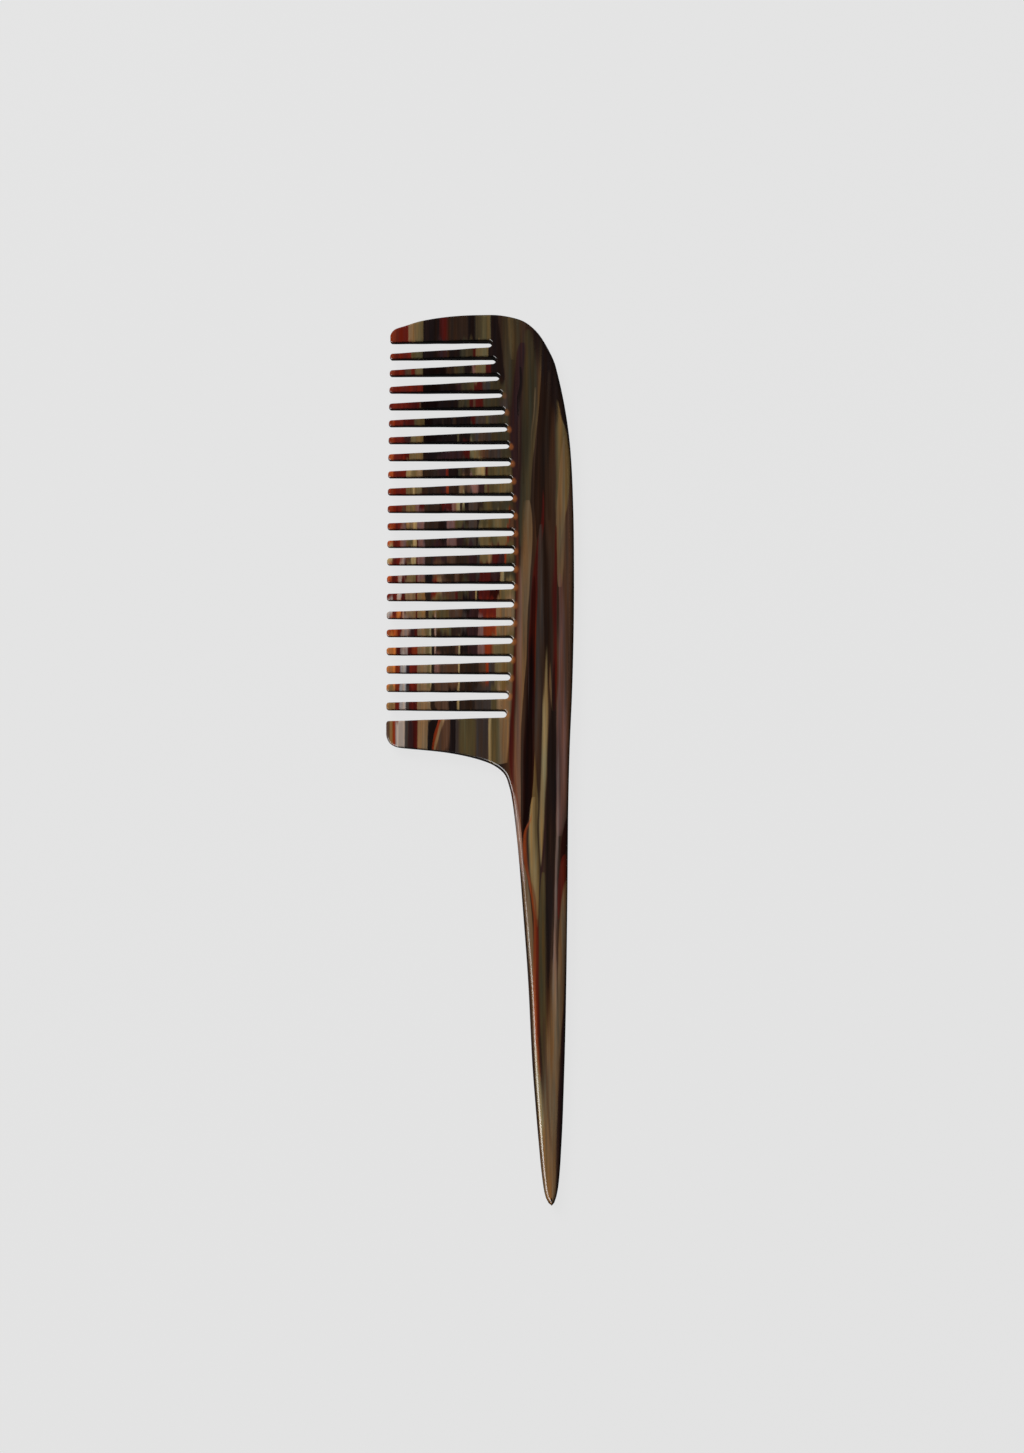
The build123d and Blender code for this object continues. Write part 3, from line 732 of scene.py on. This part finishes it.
def hairlines(tree, place, colour):
    """Each layer is itself many thin ones: light and dark hairlines, some warm and some olive."""
    tone = streaky(tree, place, 1.1, 26.0, 6, 3.0)
    hair = streaky(tree, place, 0.34, 14.0, 5)
    warm = streaky(tree, place, 0.8, 20.0, 7)
    depth = add(tree, "Math", (tone, TONE, -(TONE + HAIR) / 2 - DEEPEN), operation="MULTIPLY_ADD")
    depth = add(tree, "Math", (hair, HAIR, depth), operation="MULTIPLY_ADD")
    shade = add(tree, "Math", (2.0, depth), operation="POWER")
    red = add(tree, "Math", (warm, WARMTH, 1 - WARMTH / 2), operation="MULTIPLY_ADD")
    blue = add(tree, "Math", (warm, -WARMTH, 1 + WARMTH / 2), operation="MULTIPLY_ADD")
    tint = add(tree, "CombineColor", (red, 1.0, blue))
    for layer in (tint, shade):
        colour = add(tree, "MixRGB", (1.0, colour, layer), blend_type="MULTIPLY")
    return colour


def painted_slot_end_glow(tree, x, y, along):
    """Painted glow: light that gathers in the thin rim where a slot ends, painted as a round patch just past
    each root.
    """
    lead = FIRST_PITCH - PITCH_STEP / 2
    drop = add(tree, "Math", (y, -2 * PITCH_STEP, lead ** 2 + 2 * PITCH_STEP * FIRST_SLOT_Y),
               operation="MULTIPLY_ADD")
    drop = add(tree, "Math", (drop, 0.0), operation="MAXIMUM")
    root = add(tree, "Math", (drop,), operation="SQRT")
    count = add(tree, "Math", (root, 1 / PITCH_STEP, -lead / PITCH_STEP), operation="MULTIPLY_ADD")
    slot = add(tree, "Math", (count,), operation="ROUND")
    below = add(tree, "Math", (count, slot), operation="SUBTRACT")
    ends = [(y_end, gullet_x(y_end)) for y_end in range(-2, 105, 7)]
    past_end = add(tree, "Math", (x, course(tree, along, ends, 1, WIDEST_MIDDLE)), operation="SUBTRACT")
    patch = add(tree, "Mapping", {"Vector": add(tree, "CombineXYZ", (past_end, below)),
                                  "Location": (-GLOW_PAST / GLOW_LONG, -GLOW_BELOW / GLOW_HIGH, 0),
                                  "Scale": (1 / GLOW_LONG, MEAN_PITCH / GLOW_HIGH, 1)})
    glow = add(tree, "TexGradient", (patch,), gradient_type="SPHERICAL")
    for value, off, on in ((glow, 0.0, GLOW_CORE), (y, *GLOW_HEAD), (y, *GLOW_TAIL)):
        near = add(tree, "MapRange", (value, off, on), interpolation_type="SMOOTHSTEP")
        glow = near if value is glow else add(tree, "Math", (glow, near), operation="MULTIPLY")
    return add(tree, "Math", (glow, GLOW), operation="MULTIPLY")


def horn_acetate():
    """Laminated cellulose acetate, sawn and hand polished: deep, warm and glassy, with flames of
    dyed layers that run along the comb and slant through its thickness, and a glow painted into the colour
    where it is thin."""
    material = bpy.data.materials.new("horn_acetate_laminated_hand_polished")
    material.use_nodes = True
    tree = material.node_tree
    tree.nodes.clear()
    where = add(tree, "TexCoord").node.outputs["Object"]
    place = add(tree, "Mapping", {"Vector": where, "Scale": (1 / MM, 1 / MM, 1 / MM)})
    x, y, z = add(tree, "SeparateXYZ", (place,)).node.outputs
    along = add(tree, "MapRange", (y, -COURSE_TOP, COURSE_TOP))
    across = layer_place(tree, place, x, y, z)
    field = toothed_field(tree, place, across, y)
    spine = spine_and_tail(tree, place, across, along)
    colour = add(tree, "MixRGB", (past_crease(tree, across, y), field, spine))
    colour = hairlines(tree, place, colour)
    # painted glow: each slot's end is lightened toward flare orange, for light shining through the thin rim
    colour = add(tree, "MixRGB", (painted_slot_end_glow(tree, x, y, along), colour, linear("flare")))
    colour = add(tree, "HueSaturation", {"Saturation": 1.04, "Color": colour})

    # glassy from the buffing wheel, with its faint long strokes, and worn duller at the tooth tips
    strokes = streaky(tree, place, 0.6, 9.0, 8, 3.0)
    handled = streaky(tree, place, 12.0, 30.0, 9)
    worn = add(tree, "MapRange", (x, *WORN, GLOSS, TIP_ROUGH), interpolation_type="SMOOTHSTEP")
    roughness = add(tree, "Math", (strokes, STROKE_ROUGH, worn), operation="MULTIPLY_ADD")
    roughness = add(tree, "Math", (handled, HANDLED_ROUGH, roughness), operation="MULTIPLY_ADD")
    polish = add(tree, "Bump", {"Strength": 0.1, "Distance": 0.03 * MM, "Height": strokes})
    surface = add(tree, "BsdfPrincipled", {"Base Color": colour, "Roughness": roughness, "IOR": 1.48,
                                           "Normal": polish})
    add(tree, "OutputMaterial", (surface,))
    return material


# ---------------------------------------------------------------- studio
def softbox(name, place, width, height, power, glints):
    """Lights the faces, or only glints in the polished edges."""
    light = bpy.data.lights.new(name, "AREA")
    light.shape = "RECTANGLE"
    light.size = width
    light.size_y = height
    light.energy = power
    box = bpy.data.objects.new(name, light)
    bpy.context.collection.objects.link(box)
    box.location = place
    box.rotation_euler = (-Vector(place)).to_track_quat("-Z", "Y").to_euler()
    box.visible_glossy = glints
    box.visible_diffuse = not glints


def paper(tree, shown):
    """Pale to the camera, dim in reflections."""
    seen = add(tree, "LightPath").node.outputs["Is Camera Ray"]
    return add(tree, "MixRGB", (seen, (0.015, 0.015, 0.015, 1), (shown, shown, shown, 1)))


def studio():
    """A pale room over a pale sheet of paper, a soft light overhead, and a window for the glints."""
    world = bpy.data.worlds.new("studio")
    bpy.context.scene.world = world
    world.use_nodes = True
    tree = world.node_tree
    tree.links.new(paper(tree, 0.76), tree.nodes["Background"].inputs["Color"])
    softbox("overhead_left", (-0.6, 0.8, 1.0), 0.8, 0.8, 27.5, False)
    softbox("window", (-1.13, -0.8, 1.0), 1.45, 0.8, 42, True)
    bpy.ops.mesh.primitive_plane_add(size=6, location=(0, 0, -0.2 * MM))
    floor = bpy.context.object
    floor.name = "floor"
    sheet = bpy.data.materials.new("floor_paper")
    sheet.use_nodes = True
    tree = sheet.node_tree
    tree.nodes.clear()
    surface = add(tree, "BsdfPrincipled", {"Base Color": (0.03, 0.03, 0.03, 1), "Specular IOR Level": 0,
                                           "Emission Color": paper(tree, 0.745), "Emission Strength": 1})
    add(tree, "OutputMaterial", (surface,))
    floor.data.materials.append(sheet)


def camera():
    """Looks down on the comb, leaning a little from straight above."""
    data = bpy.data.cameras.new("camera")
    eye = bpy.data.objects.new("camera", data)
    bpy.context.collection.objects.link(eye)
    data.sensor_fit = "VERTICAL"
    data.sensor_height = 36
    data.lens = 59.46
    tilt = math.radians(4.6)
    aim = Vector((0.00766, 0.0068, HALF * MM))
    away = 0.5796
    eye.location = aim + Vector((0, -math.sin(tilt), math.cos(tilt))) * away
    eye.rotation_euler = (tilt, 0, 0)
    bpy.context.scene.camera = eye
    bpy.context.scene.view_settings.view_transform = "Standard"


camera()
studio()
comb_pieces(horn_acetate())
